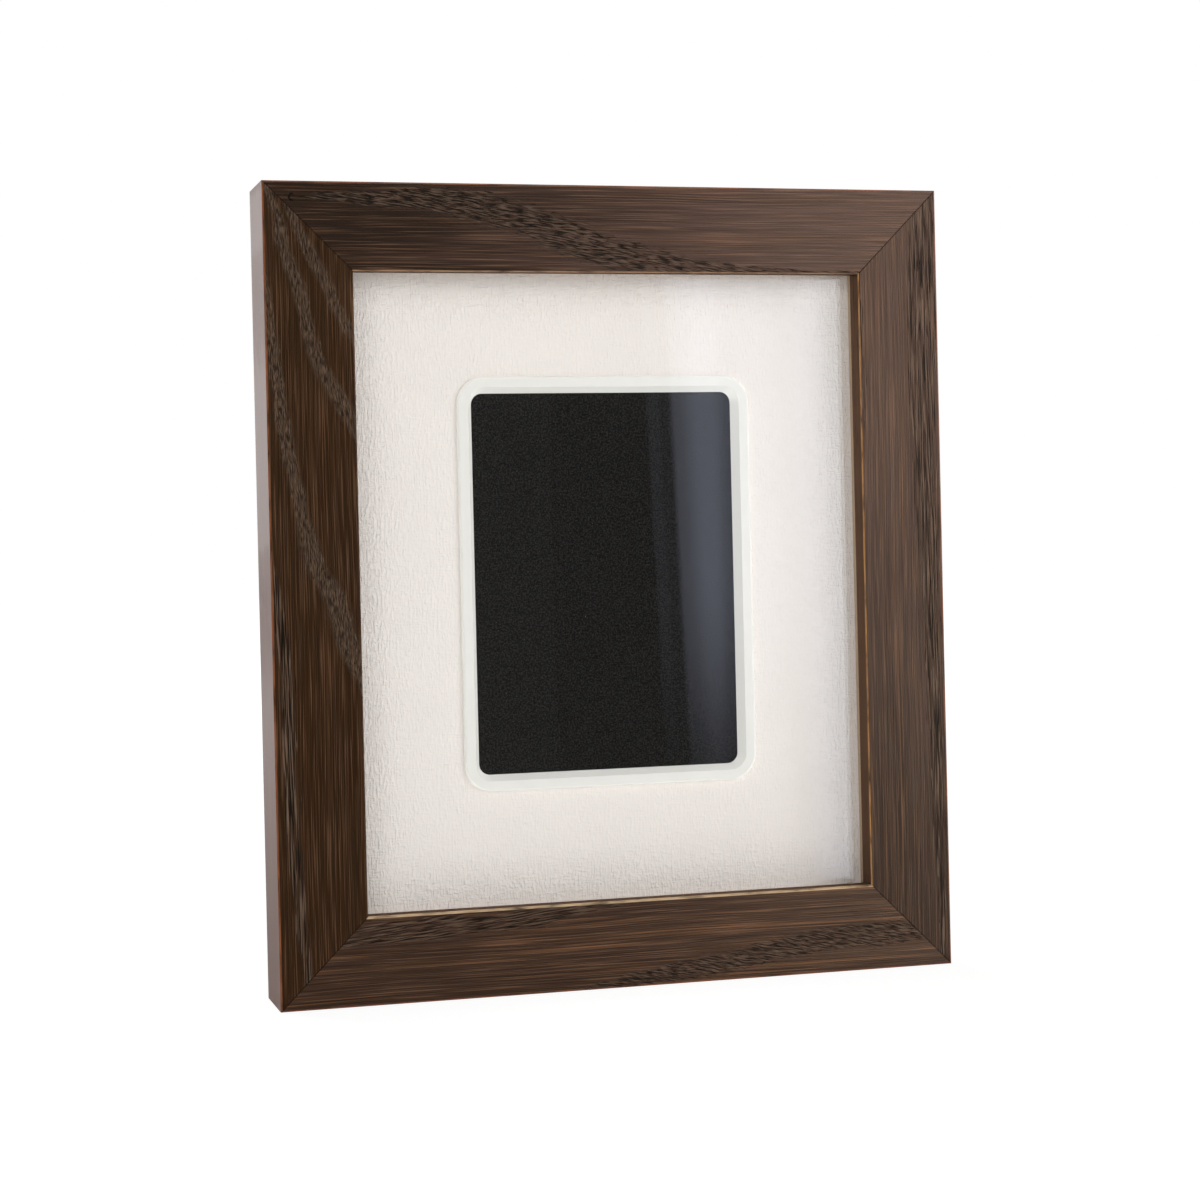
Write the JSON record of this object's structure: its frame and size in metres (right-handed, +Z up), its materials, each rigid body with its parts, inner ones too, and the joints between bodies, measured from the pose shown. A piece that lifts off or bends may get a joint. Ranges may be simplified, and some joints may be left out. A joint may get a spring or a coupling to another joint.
{
  "type": "trading card display frame",
  "caption": "Deep wooden display frame with glass, linen mat, a raised bezel round a black-lined card recess, and a back with turn buttons, wall hanger and easel leg.",
  "frame": {"origin": "centre of the bottom rail's underside, halfway through the rails' depth", "axes": "+X to the viewer's right, +Y towards the back, so the glass faces -Y, and +Z up"},
  "size_m": [0.162, 0.0237, 0.186],
  "materials": {
    "stained_wood": "dark walnut stain on open-pored wood, satin",
    "clear_glass": "clear float glass",
    "spacer_strip": "matt off-white card",
    "linen_paper": "warm white, linen-embossed",
    "mat_board": "matt white board",
    "white_plastic": "satin off-white",
    "black_flock": "fine black flock",
    "black_fibreboard": "black-papered hardboard",
    "nickel_steel": "nickel plate, satin",
    "plain_steel": "bright drawn steel",
    "brass_plate": "brass-plated steel"
  },
  "bodies": {
    "frame": {"rail_top": "stained_wood", "rail_bottom": "stained_wood", "rail_left": "stained_wood", "rail_right": "stained_wood", "corner_v_nails": "plain_steel", "front_glass": "clear_glass", "spacer_top": "spacer_strip", "spacer_bottom": "spacer_strip", "spacer_left": "spacer_strip", "spacer_right": "spacer_strip", "mat_facing": "linen_paper", "mat_core": "mat_board", "card_bezel": "white_plastic", "card_pad": "black_flock", "filler_board": "mat_board", "back_board": "black_fibreboard", "turn_button_screws": "nickel_steel", "sawtooth_hanger": "brass_plate", "hanger_nails": "brass_plate", "hinge_board_leaf": "nickel_steel", "hinge_board_rivets": "nickel_steel", "hinge_pin": "plain_steel"},
    "easel_leg": {"easel_leg": "black_fibreboard", "hinge_leg_leaf": "nickel_steel", "hinge_leg_rivets": "nickel_steel"},
    "button_upper_left": {"turn_button_upper_left": "nickel_steel"},
    "button_upper_right": {"turn_button_upper_right": "nickel_steel"},
    "button_lower_left": {"turn_button_lower_left": "nickel_steel"},
    "button_lower_right": {"turn_button_lower_right": "nickel_steel"}
  },
  "joints": [
    {"name": "easel_hinge", "type": "hinge", "parent": "frame", "child": "easel_leg", "pos_m": [0, 0.01145, 0.148], "axis": [1, 0, 0], "range_deg": [0, 30]},
    {"name": "button_upper_left_turn", "type": "hinge", "parent": "frame", "child": "button_upper_left", "pos_m": [-0.074, 0.00975, 0.139], "axis": [0, 1, 0], "continuous": true},
    {"name": "button_upper_right_turn", "type": "hinge", "parent": "frame", "child": "button_upper_right", "pos_m": [0.074, 0.00975, 0.139], "axis": [0, 1, 0], "continuous": true},
    {"name": "button_lower_left_turn", "type": "hinge", "parent": "frame", "child": "button_lower_left", "pos_m": [-0.074, 0.00975, 0.047], "axis": [0, 1, 0], "continuous": true},
    {"name": "button_lower_right_turn", "type": "hinge", "parent": "frame", "child": "button_lower_right", "pos_m": [0.074, 0.00975, 0.047], "axis": [0, 1, 0], "continuous": true}
  ]
}
